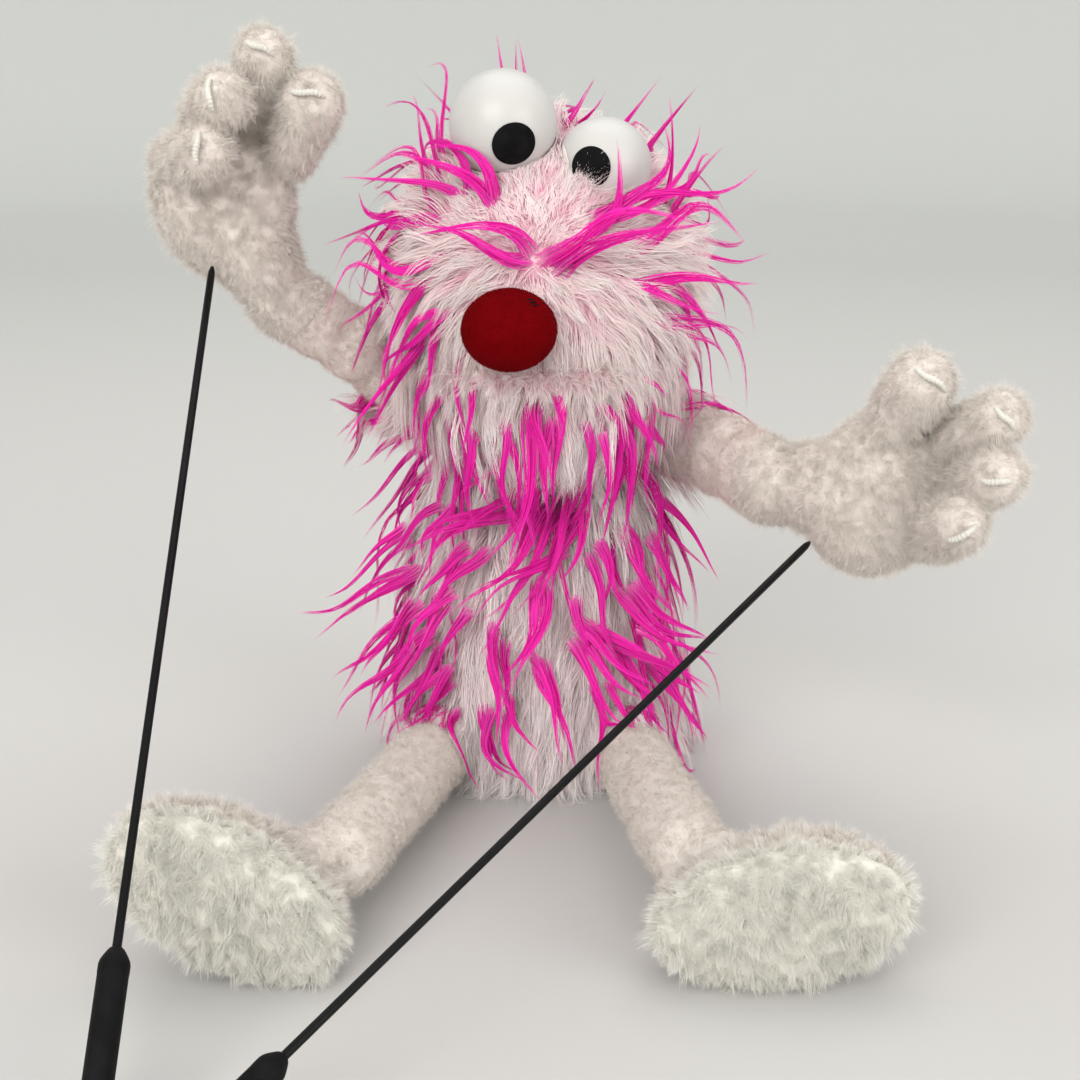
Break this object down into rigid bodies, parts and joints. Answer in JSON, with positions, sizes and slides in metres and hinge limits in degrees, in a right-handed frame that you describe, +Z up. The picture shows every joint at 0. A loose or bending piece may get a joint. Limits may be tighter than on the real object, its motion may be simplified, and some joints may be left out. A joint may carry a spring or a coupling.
{
  "type": "moving mouth puppet",
  "caption": "Seated shaggy monster hand puppet with a hinged mouth, ball eyes and nose, stuffed arms and legs, and a control rod at each hand.",
  "frame": {"origin": "centre of the flat seat that the puppet sits on", "axes": "+Z up, -Y the way that the puppet faces, +X to the puppet's left"},
  "size_m": [0.344, 0.3868, 0.3207],
  "materials": {
    "long_fur": "white long-pile fur with magenta spikes",
    "fleece": "short off-white fleece",
    "foot_fleece": "thick white fleece",
    "foam": "soft upholstery foam and stuffing",
    "mouth_board": "stiff board",
    "mouth_felt": "felt",
    "webbing": "woven tape",
    "eye_plastic": "satin white",
    "pupil_felt": "black felt",
    "nose_velour": "dark red velour",
    "rod_plastic": "satin black",
    "grip_rubber": "soft black"
  },
  "bodies": {
    "torso": {"seat_panel": "foot_fleece", "body_front_panel": "long_fur", "body_side_panel_right": "long_fur", "body_side_panel_left": "long_fur", "body_back_panel": "long_fur"},
    "neck": {"neck_collar": "long_fur"},
    "head": {"head_fur_skin": "long_fur", "head_foam_front": "foam", "head_foam_right": "foam", "head_foam_left": "foam", "head_foam_back": "foam", "eyeball_right": "eye_plastic", "eyeball_left": "eye_plastic", "pupil_right": "pupil_felt", "pupil_left": "pupil_felt", "nose_cover": "nose_velour", "nose_stuffing": "foam", "upper_lip": "long_fur", "upper_mouth_lining": "mouth_felt", "upper_mouth_plate": "mouth_board", "mouth_hinge_strip": "webbing", "finger_pocket": "webbing"},
    "jaw": {"jaw_fur_skin": "long_fur", "jaw_foam": "foam", "lower_mouth_lining": "mouth_felt", "lower_mouth_plate": "mouth_board", "thumb_pocket": "webbing"},
    "upper_arm_right": {"upper_arm_right": "fleece"},
    "forearm_right": {"forearm_right": "fleece"},
    "hand_right": {"palm_right": "fleece", "thumb_right": "fleece", "index_finger_right": "fleece", "middle_finger_right": "fleece", "ring_finger_right": "fleece"},
    "rod_right": {"arm_rod_right": "rod_plastic", "rod_grip_right": "grip_rubber"},
    "upper_arm_left": {"upper_arm_left": "fleece"},
    "forearm_left": {"forearm_left": "fleece"},
    "hand_left": {"palm_left": "fleece", "thumb_left": "fleece", "index_finger_left": "fleece", "middle_finger_left": "fleece", "ring_finger_left": "fleece"},
    "rod_left": {"arm_rod_left": "rod_plastic", "rod_grip_left": "grip_rubber"},
    "leg_right": {"leg_right": "fleece"},
    "foot_right": {"foot_upper_right": "foot_fleece", "foot_sole_right": "foot_fleece"},
    "leg_left": {"leg_left": "fleece"},
    "foot_left": {"foot_upper_left": "foot_fleece", "foot_sole_left": "foot_fleece"}
  },
  "joints": [
    {"name": "head_turn", "type": "hinge", "parent": "torso", "child": "neck", "pos_m": [0, 0.017, 0.167], "axis": [0, 0, 1], "range_deg": [-20, 20]},
    {"name": "head_nod", "type": "hinge", "parent": "neck", "child": "head", "pos_m": [0, 0.017, 0.167], "axis": [1, 0, 0], "range_deg": [-20, 12]},
    {"name": "mouth_open", "type": "hinge", "parent": "head", "child": "jaw", "pos_m": [0, -0.012, 0.1844], "axis": [1, 0, 0], "range_deg": [0, 30]},
    {"name": "shoulder_raise_right", "type": "hinge", "parent": "torso", "child": "upper_arm_right", "pos_m": [-0.052, 0.012, 0.163], "axis": [0, 1, 0], "range_deg": [-65, 15]},
    {"name": "elbow_swing_right", "type": "hinge", "parent": "upper_arm_right", "child": "forearm_right", "pos_m": [-0.08, -0.007, 0.19], "axis": [0, 0, -1], "range_deg": [0, 30]},
    {"name": "wrist_tilt_right", "type": "hinge", "parent": "forearm_right", "child": "hand_right", "pos_m": [-0.11536, -0.02087, 0.22471], "axis": [0, 1, 0], "range_deg": [-3, 25]},
    {"name": "rod_swing_right", "type": "hinge", "parent": "hand_right", "child": "rod_right", "pos_m": [-0.1335, -0.041, 0.227], "axis": [-1, -0.0054, 0], "range_deg": [-3, 60]},
    {"name": "shoulder_raise_left", "type": "hinge", "parent": "torso", "child": "upper_arm_left", "pos_m": [0.055, 0.012, 0.149], "axis": [0, -1, 0], "range_deg": [-60, 35]},
    {"name": "elbow_swing_left", "type": "hinge", "parent": "upper_arm_left", "child": "forearm_left", "pos_m": [0.081, -0.019, 0.143], "axis": [0, 0, 1], "range_deg": [0, 30]},
    {"name": "wrist_tilt_left", "type": "hinge", "parent": "forearm_left", "child": "hand_left", "pos_m": [0.1137, -0.05795, 0.1399], "axis": [0, -1, 0], "range_deg": [-25, 15]},
    {"name": "rod_swing_left", "type": "hinge", "parent": "hand_left", "child": "rod_left", "pos_m": [0.1075, -0.083, 0.123], "axis": [-0.7506, 0.6607, 0], "range_deg": [-5, 60]},
    {"name": "hip_swing_right", "type": "hinge", "parent": "torso", "child": "leg_right", "pos_m": [-0.044, -0.051, 0.02], "axis": [-1, 0, 0], "range_deg": [-85, 10]},
    {"name": "ankle_flex_right", "type": "hinge", "parent": "leg_right", "child": "foot_right", "pos_m": [-0.08566, -0.17791, 0.02841], "axis": [-1, 0, 0], "range_deg": [-20, 20]},
    {"name": "hip_swing_left", "type": "hinge", "parent": "torso", "child": "leg_left", "pos_m": [0.038, -0.054, 0.021], "axis": [-1, 0, 0], "range_deg": [-85, 15]},
    {"name": "ankle_flex_left", "type": "hinge", "parent": "leg_left", "child": "foot_left", "pos_m": [0.06493, -0.17839, 0.02681], "axis": [-1, 0, 0], "range_deg": [-20, 20]}
  ]
}
